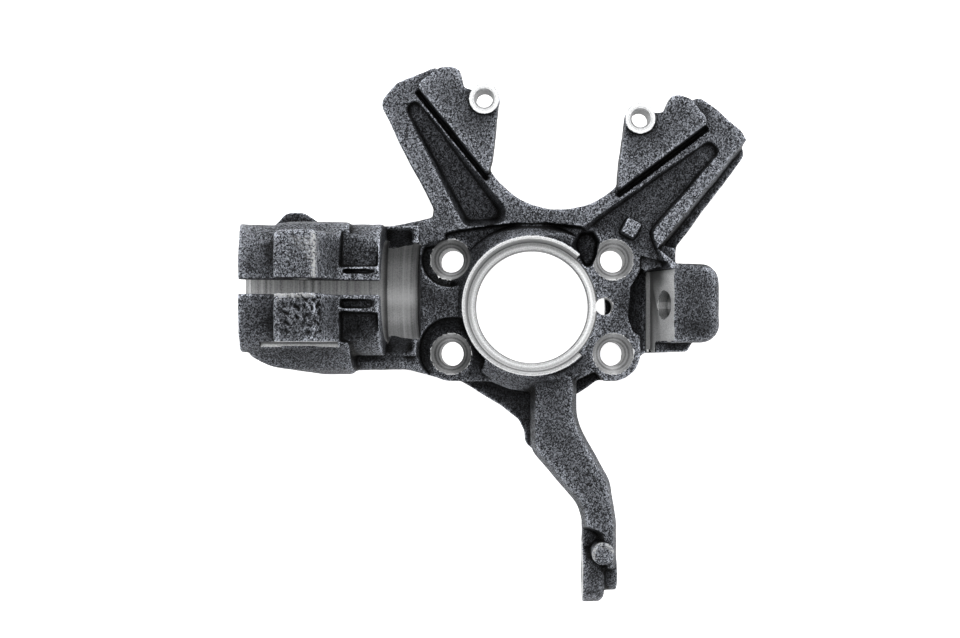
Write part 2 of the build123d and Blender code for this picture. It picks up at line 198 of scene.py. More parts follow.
def apply_modifiers(piece):
    """Replaces a piece's mesh by the result of its modifiers."""
    graph = bpy.context.evaluated_depsgraph_get()
    mesh = bpy.data.meshes.new_from_object(piece.evaluated_get(graph))
    old = piece.data
    piece.modifiers.clear()
    piece.data = mesh
    bpy.data.meshes.remove(old)


# ---- Machined features ----

BOLTS = MOUNTS["hub_bolts"]

# How far a cutter goes past the CAD face, round the axis and along it, and past the metal's end.
CUT_ALLOWANCE = 0.15 * MM
FACING = 0.06 * MM
OVERRUN = 1 * MM

# Chamfers: on a rim, at a bore's mouth, at a guide pin hole's mouth, and in the counterbore's foot.
EDGE_BREAK = 0.4 * MM
BORE_CHAMFER = 0.6 * MM
PIN_CHAMFER = 1.1 * MM
FOOT_CHAMFER = 0.5 * MM

# How near to a turned cut, or to a milled plane, a place counts as on it, and the cosine from which a
# face counts as lying with that plane, or as level.
ON_CUT = 0.08 * MM
ON_PLANE = 0.3 * MM
WITH_PLANE = 0.93
LEVEL = 0.9

# Strut bore: the stop at its inner end and the relief groove before it.
STOP_STEP = 0.7 * MM
STOP_LENGTH = 17.8 * MM
RELIEF = 0.7 * MM
RELIEF_LENGTH = 1.6 * RELIEF
STRUT_LEAD_IN = 3.2 * MM

# Coned bolt seats, each with a small step on its way down.
SEAT_DROP = 4.67 * MM
SEAT_STEP = 0.35 * MM
SEAT_INNER = 9.4 * MM
BOLT_SEAT_RADIUS = 11.82 * MM

# Hub: where the bearing seat's floor starts, as a share of its radius, then the flange, the counterbore
# and the collar's rim, which reaches a little into the counterbore until that is cut.
BEARING_FLOOR_SHARE = 0.6
FLANGE_TOP = 25.5 * MM
COLLAR_TOP = 39.5 * MM
COLLAR_RADIUS = 40.1 * MM
COLLAR_FOOT = 5 * MM
COLLAR_SWEEP = (math.radians(47), math.radians(315))
COUNTERBORE_RADIUS = 37.8 * MM
RIM_OVERLAP = 0.3 * MM

# Guide pin bosses and the spot faces round them, ball joint seat, pinch ears and slit. The slit and the
# pinch ears' face are cut up to one height over the part.
PIN_BOSS_RADIUS = 8.7 * MM
PIN_BOSS_RISE = 6.0 * MM
SPOT_FACE_MARGIN = 0.2 * MM
BALL_SEAT_FLOOR = 4.0 * MM
BALL_SEAT_STRIP = 2.6 * MM
BALL_SEAT_ENDS = (-24.6 * MM, 21.6 * MM)
PINCH_FLOOR = 79.0 * MM
PINCH_ENDS = (-145 * MM, -103 * MM)
SLIT_MIDDLE = 8.0 * MM
SLIT_HALF = 3.8 * MM
SLIT_ENDS = (-190 * MM, -78 * MM)
SLIT_FLOOR = 60 * MM
CUTTER_TOP = 130 * MM

# Lines along which the skin breaks into specks of the faced colour: two on the pinch ears, one on the ball
# joint boss, one round the stub.
STUB_CENTRE = np.array((40.4, -140.7)) * MM
STUB_RIM_RADIUS = 6.2 * MM
STUB_RIM_HEIGHT = 40.8 * MM
STUB_ARC = np.radians(np.linspace(10, 200, 14))
PALE_SPECK_WIDTH = 1.2 * MM
PALE_SPECK_LINES = (
    np.array(((-112.2, 12.0, 103.5), (-112.2, 35.0, 103.5))) * MM,
    np.array(((-133.0, 3.4, 103.5), (-113.0, 3.4, 103.5))) * MM,
    np.array(((84.5, 9.0, 38.5), (84.5, -9.0, 38.5))) * MM,
    np.column_stack((
        STUB_CENTRE[0] + STUB_RIM_RADIUS * np.cos(STUB_ARC),
        STUB_CENTRE[1] + STUB_RIM_RADIUS * np.sin(STUB_ARC),
        np.full(len(STUB_ARC), STUB_RIM_HEIGHT),
    )),
)

# Middle and half sizes of the rough patch, and of each patch of painted shade on the skin: darker skin laid in
# spots that lie in shade.
CRUMB_PATCH = np.array(((-117.0, -7.0, 103.0), (10.0, 8.5, 4.0))) * MM
PAINTED_SHADE_PATCHES = np.array((
    ((-55.0, 2.5, 25.0), (10.0, 14.0, 12.0)),
    ((57.0, 4.0, 25.0), (8.0, 11.0, 8.0)),
    ((39.0, -154.0, 33.0), (12.0, 10.0, 14.0)),
    ((97.0, -12.5, 29.0), (12.0, 5.0, 8.0)),
    ((-91.5, -14.5, 78.0), (11.0, 9.0, 8.0)),
)) * MM


def bolt_places():
    """Centre of each hub bolt's hole."""
    x, y = (BOLTS["dims"][key] * MM / 2 for key in ("spacing_x_mm", "spacing_y_mm"))
    return [(i * x, j * y, 0.0) for i in (-1, 1) for j in (-1, 1)]


def round_cuts():
    """Name, start, axis and (radius, height) profile of every turned cut, worked out from the part's mounts."""
    cuts = []
    for name, mount in MOUNTS.items():
        if mount["kind"] not in ("bore", "threaded_hole", "clamp"):
            continue
        axis = unit(mount["axis"])
        radius = mount["dims"]["r_mm"] * MM + CUT_ALLOWANCE
        half = mount["dims"]["length_mm"] * MM / 2
        middle = np.array(mount["pos_m"])
        if name == "bearing_seat":
            profile = [
                (BEARING_FLOOR_SHARE * radius, -2 * half), (radius, -2 * half), (radius, 0.0),
                (radius + BORE_CHAMFER, OVERRUN),
            ]
        elif name == "strut_clamp":
            stop = radius - STOP_STEP
            profile = [
                (stop, -half - STOP_LENGTH), (stop, -half), (radius + RELIEF, -half),
                (radius + RELIEF, -half + RELIEF_LENGTH), (radius, -half + RELIEF_LENGTH), (radius, half),
                (radius + STRUT_LEAD_IN, half + STRUT_LEAD_IN),
            ]
        elif name == "axle_bore":
            profile = [
                (radius, -half - 6 * OVERRUN), (radius, half - BORE_CHAMFER),
                (radius + BORE_CHAMFER, half - FACING),
                (COUNTERBORE_RADIUS - FOOT_CHAMFER, half - FACING), (COUNTERBORE_RADIUS, half + FOOT_CHAMFER),
                (COUNTERBORE_RADIUS, COLLAR_TOP - middle[2] - EDGE_BREAK),
                (COUNTERBORE_RADIUS + EDGE_BREAK, COLLAR_TOP - middle[2] - FACING),
                (COLLAR_RADIUS + OVERRUN, COLLAR_TOP - middle[2] - FACING),
                (COLLAR_RADIUS + OVERRUN, COLLAR_TOP - middle[2] + 3 * OVERRUN),
            ]
        elif name.startswith("guide_pin"):
            spot = PIN_BOSS_RADIUS + SPOT_FACE_MARGIN
            profile = [
                (radius, -half - 2 * OVERRUN), (radius, half - PIN_CHAMFER),
                (radius + PIN_CHAMFER, half - FACING), (spot, half - FACING), (spot, half + 2 * OVERRUN),
            ]
        else:
            profile = [(radius, -half - OVERRUN), (radius, half + OVERRUN)]
        cuts.append((name, middle, axis, profile))
    up = np.array((0.0, 0.0, 1.0))
    hole = BOLTS["dims"]["hole_r_mm"] * MM + CUT_ALLOWANCE
    seat_rise = FLANGE_TOP - SEAT_DROP * (BOLT_SEAT_RADIUS - SEAT_INNER) / (BOLT_SEAT_RADIUS - hole)
    for k, place in enumerate(bolt_places()):
        profile = [
            (hole, -OVERRUN), (hole, FLANGE_TOP - SEAT_DROP), (SEAT_INNER, seat_rise - SEAT_STEP),
            (SEAT_INNER, seat_rise), (BOLT_SEAT_RADIUS, FLANGE_TOP),
            (BOLT_SEAT_RADIUS, FLANGE_TOP + 12 * OVERRUN),
        ]
        cuts.append((f"bolt_{k}", np.array(place), up, profile))
    return cuts


def collar_rim():
    """Machined rim of the collar: its square section carried round the hub over the collar's sweep, and
    capped at both ends."""
    inner = COUNTERBORE_RADIUS - RIM_OVERLAP
    section = [
        (inner, FLANGE_TOP - OVERRUN), (COLLAR_RADIUS + OVERRUN, FLANGE_TOP - OVERRUN),
        (COLLAR_RADIUS, FLANGE_TOP + COLLAR_FOOT), (COLLAR_RADIUS, COLLAR_TOP - EDGE_BREAK),
        (COLLAR_RADIUS - EDGE_BREAK, COLLAR_TOP), (inner, COLLAR_TOP),
    ]
    angle = np.linspace(*COLLAR_SWEEP, 161)
    radius, height = np.array(section).T
    points = np.stack((
        np.outer(np.cos(angle), radius), np.outer(np.sin(angle), radius),
        np.broadcast_to(height, (len(angle), len(radius))),
    ), axis=-1).reshape(-1, 3)
    count = len(section)
    index = np.arange(len(angle) * count).reshape(len(angle), count)
    ahead = np.roll(index, -1, axis=1)
    walls = np.stack((index[:-1], ahead[:-1], ahead[1:], index[1:]), axis=-1).reshape(-1, 4)
    return points, walls.tolist() + [index[0][::-1].tolist(), index[-1].tolist()]


def prism(outline, low, high):
    """Solid whose outline of (x, z) places runs straight from low to high along Y."""
    flat = np.array(outline)
    near = np.column_stack((flat[:, 0], np.full(len(flat), low), flat[:, 1]))
    far = near + (0, high - low, 0)
    index = np.arange(len(flat))
    beside = np.roll(index, -1)
    walls = np.stack((index, beside, beside + len(flat), index + len(flat)), 1)
    return np.concatenate((near, far)), walls.tolist() + [index[::-1].tolist(), (index + len(flat)).tolist()]


def block(low, high):
    """Box between two corners."""
    (x0, y0, z0), (x1, y1, z1) = low, high
    return prism([(x0, z0), (x1, z0), (x1, z1), (x0, z1)], y0, y1)


def milled_cuts():
    """Name, points and faces of each straight-sided cutter."""
    ball = MOUNTS["ball_joint_hole"]
    lean = -unit(ball["axis"])
    face = np.array(ball["pos_m"]) + lean * (ball["dims"]["length_mm"] * MM / 2 - FACING)
    slope = -lean[2] / lean[0]
    foot = face[0] - (face[2] - BALL_SEAT_FLOOR) * slope
    rise = 60 * MM
    seat = [
        (foot - BALL_SEAT_STRIP, BALL_SEAT_FLOOR), (foot, BALL_SEAT_FLOOR),
        (foot + rise * slope, BALL_SEAT_FLOOR + rise), (foot - BALL_SEAT_STRIP, BALL_SEAT_FLOOR + rise),
    ]
    eye = MOUNTS["track_rod_hole"]
    eye_x, eye_y, eye_z = eye["pos_m"]
    eye_face = eye_x - eye["dims"]["length_mm"] * MM / 2 + FACING
    reach = 20 * MM
    eye_low = (eye_face - 6 * MM, eye_y - reach, eye_z - reach)
    eye_high = (eye_face, eye_y + 14 * MM, eye_z + reach)
    pinch = MOUNTS["pinch_hole"]
    pinch_face = pinch["pos_m"][1] - pinch["dims"]["length_mm"] * MM / 2 + FACING
    return [
        ("ball_seat", *prism(seat, *BALL_SEAT_ENDS)),
        ("eye_face", *block(eye_low, eye_high)),
        ("pinch_face", *block(
            (PINCH_ENDS[0], pinch_face - reach, PINCH_FLOOR), (PINCH_ENDS[1], pinch_face, CUTTER_TOP),
        )),
        ("slit", *block(
            (SLIT_ENDS[0], SLIT_MIDDLE - SLIT_HALF, SLIT_FLOOR),
            (SLIT_ENDS[1], SLIT_MIDDLE + SLIT_HALF, CUTTER_TOP),
        )),
    ]


def combine(piece, name, points, faces, operation):
    """Adds a solid to the piece or takes it out of it."""
    tool = make_object("tool_" + name, points, faces)
    change = piece.modifiers.new(name, "BOOLEAN")
    change.operation = operation
    change.solver = "MANIFOLD"
    change.object = tool
    apply_modifiers(piece)
    bpy.data.objects.remove(tool)


def machine(piece):
    """Builds up the collar's rim and the guide pin bosses, then takes every cutter out of the piece."""
    combine(piece, "collar_rim", *collar_rim(), "UNION")
    boss = [
        (PIN_BOSS_RADIUS, -2 * OVERRUN), (PIN_BOSS_RADIUS, PIN_BOSS_RISE - EDGE_BREAK),
        (PIN_BOSS_RADIUS - EDGE_BREAK, PIN_BOSS_RISE),
    ]
    for name, middle, axis, _ in round_cuts():
        if name.startswith("guide_pin"):
            combine(piece, name, *turned_solid(middle, axis, boss, 96), "UNION")
    for name, start, axis, profile in round_cuts():
        combine(piece, name, *turned_solid(start, axis, profile), "DIFFERENCE")
    for name, points, faces in milled_cuts():
        combine(piece, name, points, faces, "DIFFERENCE")


def turned_distance(places, only="", with_reach=False):
    """Distance from each place to the nearest turned cut: the gap to each straight stretch of its profile,
    measured in the plane that holds the cut's axis and the place. The reach is radius plus height there."""
    nearest = np.full(len(places), 1.0)
    reach = np.zeros(len(places))
    for name, start, axis, profile in round_cuts():
        if not name.startswith(only):
            continue
        along = (places - start) @ axis
        radial = np.linalg.norm(places - start - along[:, None] * axis, axis=1)
        for (r0, h0), (r1, h1) in zip(profile, profile[1:]):
            run = np.array((r1 - r0, h1 - h0))
            length = np.linalg.norm(run)
            run /= length
            offset = np.stack((radial - r0, along - h0), 1)
            t = np.clip(offset @ run, 0.0, length)
            gap = np.linalg.norm(offset - t[:, None] * run, axis=1)
            closer = gap < nearest
            nearest[closer] = gap[closer]
            reach[closer] = (radial + along)[closer]
    return (nearest, reach) if with_reach else nearest


def milled_planes():
    """Point, normal, and lowest and highest corner of each flat that a cutter leaves. The first is the
    whole bearing face, and the corners of the others only tell them from the skin round them."""
    ball = MOUNTS["ball_joint_hole"]
    stud = np.array(ball["pos_m"])
    lean = -unit(ball["axis"])
    face = stud + lean * ball["dims"]["length_mm"] * MM / 2
    eye = np.array(MOUNTS["track_rod_hole"]["pos_m"])
    eye_face = eye - (MOUNTS["track_rod_hole"]["dims"]["length_mm"] * MM / 2, 0, 0)
    pinch_y = MOUNTS["pinch_hole"]["pos_m"][1] - MOUNTS["pinch_hole"]["dims"]["length_mm"] * MM / 2
    x, y, z = np.eye(3)
    flats = [
        ((0, 0, 0), -z, (-1000, -1000, -1000), (1000, 1000, 1000)),
        (face, lean, (60, -30, 2), (100, 22, 100)),
        ((0, 0, BALL_SEAT_FLOOR), z, (64, -30, 0), (73, 22, 10)),
        (eye_face, -x, (0, -200, 0), (100, -130, 100)),
        ((0, pinch_y, 0), -y, (-146, -30, 70), (-100, 0, 120)),
        ((0, 0, PINCH_FLOOR), z, (-146, -35, 70), (-100, -20.5, 80)),
        ((0, 0, COLLAR_TOP), z, (-45, -45, 30), (45, 45, 50)),
    ]
    return [
        (np.array(point), normal, np.array(low) * MM, np.array(high) * MM) for point, normal, low, high in flats
    ]


def on_milled_plane(centres, normals):
    """True for each face or vertex that lies on a milled plane, faces along its normal and is inside its
    corners."""
    found = np.zeros(len(centres), bool)
    for point, normal, low, high in milled_planes():
        gap = np.abs((centres - point) @ normal)
        facing = normals @ normal
        inside = np.all((centres > low) & (centres < high), axis=1)
        found |= (gap < ON_PLANE) & (facing > WITH_PLANE) & inside
    return found


def normal_array(mesh):
    """Vertex normals as an array of rows."""
    normals = np.empty(len(mesh.vertices) * 3, np.float32)
    mesh.vertex_normals.foreach_get("vector", normals)
    return normals.reshape(-1, 3)


def face_array(mesh, name):
    """One vector per face, such as its centre or its normal."""
    values = np.empty(len(mesh.polygons) * 3, np.float32)
    mesh.polygons.foreach_get(name, values)
    return values.reshape(-1, 3).astype(float)


# ---- Casting ----

# The skin is rounded and roughened from this far off the turned cuts, fading in over this width.
CAST_START = 0.8 * MM
CAST_FADE = 1.6 * MM

# Size, seed and share of each layer of waves, on the skin and in the rough patch.
SKIN_WAVES = ((4.0 * MM, 3, 1.0), (1.6 * MM, 8, 0.6))
CRUMB_WAVES = ((0.9 * MM, 21, 1.0), (0.4 * MM, 22, 0.8))

# How far the skin stays inside the CAD's box, and the angle from which an edge is shaded sharp.
CLIP_MARGIN = 0.05 * MM
SHARP_ANGLE = math.radians(38)

# How widely the bend of an edge is spread, and how far the rays for hollows and for shelter look. The materials
# paint highlight on bent edges and shade in hollows and under shelter from these.
BEND_PASSES = 3
BROW_PASSES = 24
HOLLOW_RAYS = 40
HOLLOW_LIFT = 0.05 * MM
HOLLOW_REACH = 8 * MM
SHELTER_RAYS = 16
SHELTER_LIFT = 11 * MM
SHELTER_REACH = 100 * MM


def copy_of_node(name):
    """Welded copy of the CAD node."""
    source = frame["nodes"][NODE]
    mesh = source.data.copy()
    mesh.materials.clear()
    built = bmesh.new()
    built.from_mesh(mesh)
    bmesh.ops.remove_doubles(built, verts=built.verts, dist=0.002 * MM)
    built.to_mesh(mesh)
    built.free()
    piece = bpy.data.objects.new(name, mesh)
    bpy.context.scene.collection.objects.link(piece)
    return piece


def smooth_noise(places, scale, seed):
    """Slow waves about zero: several sine waves in random directions, summed and divided by the root of
    their count."""
    random = np.random.default_rng(seed)
    total = np.zeros(len(places))
    waves = 14
    for _ in range(waves):
        direction = unit(random.normal(size=3)) * random.uniform(0.6, 1.6) / scale
        total += np.sin(places @ direction + random.uniform(0, 2 * math.pi))
    return total / math.sqrt(waves)


def layered_waves(places, layers):
    """Sum of slow waves, each layer with its own size, seed and share."""
    return sum(share * smooth_noise(places, size, seed) for size, seed, share in layers)


def crumbs(places):
    """Rough patch on top of the lower pinch ear: the upper part of quick waves, faded out at its rim."""
    rim = np.clip(1.6 - np.abs(places - CRUMB_PATCH[0]) / CRUMB_PATCH[1], 0.0, 0.6).min(axis=1) / 0.6
    return rim * np.clip(layered_waves(places, CRUMB_WAVES) * 0.7 + 0.2, 0.0, 1.0)


def pale_specks(places):
    """One on the lines of pale specks, fading to zero a little way from them."""
    nearest = np.full(len(places), 1.0)
    for start, end in (pair for line in PALE_SPECK_LINES for pair in zip(line, line[1:])):
        run = end - start
        t = np.clip((places - start) @ run / (run @ run), 0.0, 1.0)
        nearest = np.minimum(nearest, np.linalg.norm(places - start - t[:, None] * run, axis=1))
    return np.clip(1.6 - nearest / PALE_SPECK_WIDTH, 0.0, 1.0)


def painted_shade_patches(places):
    """One in the middle of the patches of painted shade on the skin, fading to zero at their rims."""
    gaps = [np.linalg.norm((places - middle) / radii, axis=1) for middle, radii in PAINTED_SHADE_PATCHES]
    return np.clip(1.6 - 1.2 * np.min(gaps, axis=0), 0.0, 1.0)


def store_weights(group, weights):
    """Writes one weight per vertex into a vertex group, in steps of a sixteenth."""
    steps = np.round(weights * 16).astype(int)
    for step in range(1, 17):
        chosen = np.nonzero(steps == step)[0]
        group.add(chosen.tolist(), step / 16, "REPLACE")


def hollow_depth(piece, reach, rays, lift):
    """Share of the open hemisphere that other metal hides within the given reach, seen from the given lift
    over each vertex. A hit counts less the farther off it is."""
    tree = BVHTree.FromObject(piece, bpy.context.evaluated_depsgraph_get())
    mesh = piece.data
    places = vertex_array(mesh)
    normals = normal_array(mesh).astype(float)
    golden = math.pi * (3 - math.sqrt(5))
    k = np.arange(rays)
    height = np.sqrt((k + 0.5) / rays)
    flat = np.sqrt(1 - height ** 2)
    local = np.stack((flat * np.cos(golden * k), flat * np.sin(golden * k), height), 1)
    helper = np.where(np.abs(normals[:, [1]]) < 0.9, (0.0, 1.0, 0.0), (1.0, 0.0, 0.0))
    first = np.cross(helper, normals)
    first /= np.linalg.norm(first, axis=1, keepdims=True)
    second = np.cross(normals, first)
    hidden = np.zeros(len(places))
    starts = places + normals * lift
    for x, y, z in local:
        directions = first * x + second * y + normals * z
        hits = [tree.ray_cast(s, d, reach)[3] for s, d in zip(starts.tolist(), directions.tolist())]
        hidden += np.array([0.0 if hit is None else 1.0 - hit / reach for hit in hits])
    return hidden / rays


def edge_bend(mesh, passes):
    """Bend of the skin at each vertex: the mean slope at which its neighbours fall away below its tangent
    plane, spread over the neighbours a few times. Outer edges are positive, inner corners negative."""
    ends = np.empty(len(mesh.edges) * 2, np.int32)
    mesh.edges.foreach_get("vertices", ends)
    a, b = ends.reshape(-1, 2).T
    places = vertex_array(mesh)
    normals = normal_array(mesh)
    run = places[b] - places[a]
    run /= np.maximum(np.linalg.norm(run, axis=1), 1e-9)[:, None]
    size = len(places)
    count = np.maximum(np.bincount(a, minlength=size) + np.bincount(b, minlength=size), 1)
    fall_a = -(run * normals[a]).sum(1)
    fall_b = (run * normals[b]).sum(1)
    bend = (np.bincount(a, fall_a, size) + np.bincount(b, fall_b, size)) / count
    for _ in range(passes):
        around = (np.bincount(a, bend[b], size) + np.bincount(b, bend[a], size)) / count
        bend = (bend + around) / 2
    return bend


def steepness(mesh):
    """Grows from zero on level skin to one on skin that stands 45 degrees or steeper."""
    level = np.abs(normal_array(mesh)[:, 2])
    return 1.0 - np.clip((level - 0.7) / 0.27, 0.0, 1.0)


def store_attribute(mesh, name, values, domain="POINT"):
    """Writes one number per vertex, or per face corner, into a named attribute."""
    attribute = mesh.attributes.new(name, "FLOAT", domain)
    attribute.data.foreach_set("value", values.astype(np.float32))


def turned_reach(mesh, turned):
    """For each corner of a turned face its reach from the cut's axis, and zero on every other face."""
    corner = np.empty(len(mesh.loops), np.int32)
    mesh.loops.foreach_get("vertex_index", corner)
    sides = np.empty(len(mesh.polygons), np.int32)
    mesh.polygons.foreach_get("loop_total", sides)
    _, reach = turned_distance(vertex_array(mesh), with_reach=True)
    return reach[corner] * np.repeat(turned, sides)


def cast_skin(values):
    """Copy of the CAD node with an even skin. Its cast edges are rounded, slow waves and the rough patch
    move it along its normals, and it stays inside the CAD's box."""
    piece = copy_of_node("knuckle_casting")
    remesh = piece.modifiers.new("skin", "REMESH")
    remesh.mode = "VOXEL"
    remesh.voxel_size = values.voxel
    apply_modifiers(piece)
    cast = np.clip((turned_distance(vertex_array(piece.data)) - CAST_START) / CAST_FADE, 0.0, 1.0)
    group = piece.vertex_groups.new(name="cast")
    store_weights(group, cast)
    for name, passes, mask in (("rounding", values.rounding, group.name), ("settling", 2, "")):
        smooth = piece.modifiers.new(name, "SMOOTH")
        smooth.factor = 0.5
        smooth.iterations = passes
        smooth.vertex_group = mask
        apply_modifiers(piece)
    places = vertex_array(piece.data)
    normals = normal_array(piece.data)
    rough = cast * ~on_milled_plane(places, normals)
    places += normals * (values.lump_height * layered_waves(places, SKIN_WAVES) * rough)[:, None]
    places -= normals * (values.crumb_depth * crumbs(places) * rough)[:, None]
    low, high = np.array(CAD_BOUNDS)
    places = np.clip(places, low + CLIP_MARGIN, high - CLIP_MARGIN)
    piece.data.vertices.foreach_set("co", places.astype(np.float32).ravel())
    piece.data.update()
    decimate = piece.modifiers.new("thin", "DECIMATE")
    decimate.ratio = min(1.0, values.triangles / (2.0 * len(piece.data.polygons)))
    apply_modifiers(piece)
    return piece


def cut_faces(mesh):
    """Three masks over the faces: left by a turned cut, left by any cut, and cut level and clean."""
    centres = face_array(mesh, "center")
    normals = face_array(mesh, "normal")
    turned = turned_distance(centres) < ON_CUT
    turned &= (centres[:, 2] < FLANGE_TOP) | (turned_distance(centres, "bolt") > ON_CUT)
    cut = turned | on_milled_plane(centres, normals)
    faced = cut & (np.abs(normals[:, 2]) > LEVEL) & (turned_distance(centres, "strut") > ON_CUT)
    for floor in (PINCH_FLOOR, BALL_SEAT_FLOOR):
        faced &= np.abs(centres[:, 2] - floor) > ON_PLANE
    return turned, cut, faced


def store_shade_attributes(piece, turned):
    """Attributes that the materials read. Bend, brow, hollow, shelter, steep and dark set where the materials
    paint highlight and shade; reach sets the tool marks' rings and the speck lines set the pale specks.
    """
    mesh = piece.data
    places = vertex_array(mesh)
    steep = steepness(mesh)
    store_attribute(mesh, "reach", turned_reach(mesh, turned), "CORNER")
    # Bend and brow set a painted highlight along outer edges and painted shade in inner corners.
    store_attribute(mesh, "bend", edge_bend(mesh, BEND_PASSES))
    store_attribute(mesh, "brow", edge_bend(mesh, BROW_PASSES))
    # Pale specks of the faced colour along the listed lines on edges.
    store_attribute(mesh, "pale_specks", pale_specks(places))
    # The dark attribute carries painted shade: the patches where the skin is darkened to stand in for shade.
    store_attribute(mesh, "dark", painted_shade_patches(places))
    # Steep sets painted shade on steep cut faces and a painted sheen on level ones.
    store_attribute(mesh, "steep", steep)
    # Hollow sets painted shade in creases and pockets, along steep walls and on the turned cuts.
    bare = turned_distance(places) < ON_CUT
    hollow = hollow_depth(piece, HOLLOW_REACH, HOLLOW_RAYS, HOLLOW_LIFT)
    store_attribute(mesh, "hollow", hollow * np.maximum(steep, bare))
    # Shelter sets painted shade where tall parts of the casting stand round the skin and hide the lamps.
    shelter = hollow_depth(piece, SHELTER_REACH, SHELTER_RAYS, SHELTER_LIFT)
    store_attribute(mesh, "shelter", shelter)


class KNUCKLE_OT_casting(Operator):
    """Builds the casting: cast skin first, then the machined cuts"""

    bl_idname = "knuckle.casting"
    bl_label = "Casting"

    def execute(self, context):
        values = context.scene.knuckle_casting
        piece = cast_skin(values)
        machine(piece)
        turned, cut, faced = cut_faces(piece.data)
        milled = cut & ~faced & ~turned
        piece.data.materials.clear()
        for material in casting_materials(values):
            piece.data.materials.append(material)
        piece.data.polygons.foreach_set("use_smooth", [True] * len(piece.data.polygons))
        piece.data.polygons.foreach_set("material_index", cut.astype(np.int32) + faced + 2 * milled)
        piece.data.set_sharp_from_angle(angle=SHARP_ANGLE)
        store_shade_attributes(piece, turned)
        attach(piece, "root")
        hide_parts(NODE)
        return {"FINISHED"}


# ---- Materials ----

# Where each grain shade stands on the ramp, and its share of the skin's colour.
GRAIN_SHADES = ((0.2, 0.04), (0.45, 0.6), (0.62, 1.7), (0.9, 3.4))

# Attribute, its low and high end, and the share of the grain's shade at each end.
SKIN_LEVELS = (
    # bend and brow: painted highlight on outer edges, painted shade in inner corners.
    ("bend", -0.1, 0.14, 0.0, 2.4),
    ("brow", -0.01, 0.06, 0.95, 2.0),
    # hollow: painted shade in creases, pockets and along steep walls.
    ("hollow", 0.025, 0.11, 1.0, 0.03),
    # shelter: painted shade where tall parts hide the lamps.
    ("shelter", 0.03, 0.12, 1.0, 0.25),
    # dark: painted shade in the listed patches.
    ("dark", 0.0, 1.0, 1.0, 0.4),
)

# Noise levels of the pits between which the skin along the speck lines goes over to the faced colour.
SPECK_FROM = 0.42
SPECK_TO = 0.54

# Grains, pits and tool marks to a metre.
GRAIN_SCALE = 1700.0
PIT_SCALE = 800.0
TOOL_GRAIN_SCALE = 1400.0
RING_SCALE = 450.0


def new_material(name):
    """Empty node material with its shader and output joined."""
    material = bpy.data.materials.new(name)
    material.use_nodes = True
    return material, material.node_tree, material.node_tree.nodes["Principled BSDF"]


def attribute_level(tree, name, low, high, at_low, at_high):
    """Socket that runs from at_low to at_high while the named attribute runs from low to high."""
    source = tree.nodes.new("ShaderNodeAttribute")
    source.attribute_name = name
    level = tree.nodes.new("ShaderNodeMapRange")
    level.inputs["From Min"].default_value = low
    level.inputs["From Max"].default_value = high
    level.inputs["To Min"].default_value = at_low
    level.inputs["To Max"].default_value = at_high
    tree.links.new(source.outputs["Fac"], level.inputs["Value"])
    return level.outputs["Result"]


def product(tree, *factors):
    """Socket that multiplies all the factors."""
    result = factors[0]
    for factor in factors[1:]:
        times = tree.nodes.new("ShaderNodeMath")
        times.operation = "MULTIPLY"
        tree.links.new(result, times.inputs[0])
        tree.links.new(factor, times.inputs[1])
        result = times.outputs["Value"]
    return result


def cast_skin_material(values):
    """Blasted cast iron: grains of random shade over a dark grey, with a painted highlight on the outer edges,
    painted shade in inner corners, in hollows, where tall parts stand round it and in the patches of painted
    shade, and specks of the faced colour along the speck lines."""
    material, tree, shader = new_material("cast_skin")
    link = tree.links.new
    place = tree.nodes.new("ShaderNodeTexCoord").outputs["Object"]
    grain = tree.nodes.new("ShaderNodeTexVoronoi")
    grain.inputs["Scale"].default_value = GRAIN_SCALE
    link(place, grain.inputs["Vector"])
    ramp = tree.nodes.new("ShaderNodeValToRGB")
    steps = ramp.color_ramp.elements
    steps[0].position = GRAIN_SHADES[0][0]
    steps[1].position = GRAIN_SHADES[-1][0]
    for position, _ in GRAIN_SHADES[1:-1]:
        steps.new(position)
    for step, (_, share) in zip(steps, GRAIN_SHADES):
        step.color = [c * share for c in values.skin[:3]] + [1]
    link(grain.outputs["Color"], ramp.inputs["Fac"])
    # The grain's shade is lifted by painted highlight and lowered by painted shade, one skin level at a time.
    level = product(tree, *(attribute_level(tree, *row) for row in SKIN_LEVELS))
    shade = tree.nodes.new("ShaderNodeVectorMath")
    shade.operation = "SCALE"
    link(ramp.outputs["Color"], shade.inputs[0])
    link(level, shade.inputs["Scale"])
    pits = tree.nodes.new("ShaderNodeTexNoise")
    pits.inputs["Scale"].default_value = PIT_SCALE
    pits.inputs["Detail"].default_value = 3.0
    link(place, pits.inputs["Vector"])
    speck_level = tree.nodes.new("ShaderNodeMapRange")
    speck_level.inputs["From Min"].default_value = SPECK_FROM
    speck_level.inputs["From Max"].default_value = SPECK_TO
    link(pits.outputs["Fac"], speck_level.inputs["Value"])
    bare = tree.nodes.new("ShaderNodeMixRGB")
    specked = product(tree, speck_level.outputs["Result"], attribute_level(tree, "pale_specks", 0, 1, 0, 1))
    link(specked, bare.inputs["Fac"])
    link(shade.outputs["Vector"], bare.inputs["Color1"])
    bare.inputs["Color2"].default_value = values.faced
    link(bare.outputs["Color"], shader.inputs["Base Color"])
    shader.inputs["Roughness"].default_value = 0.5
    shader.inputs["Specular IOR Level"].default_value = 0.08
    bump = tree.nodes.new("ShaderNodeBump")
    bump.inputs["Strength"].default_value = 1.0
    bump.inputs["Distance"].default_value = 1.5 * MM
    link(pits.outputs["Fac"], bump.inputs["Height"])
    link(bump.outputs["Normal"], shader.inputs["Normal"])
    return material


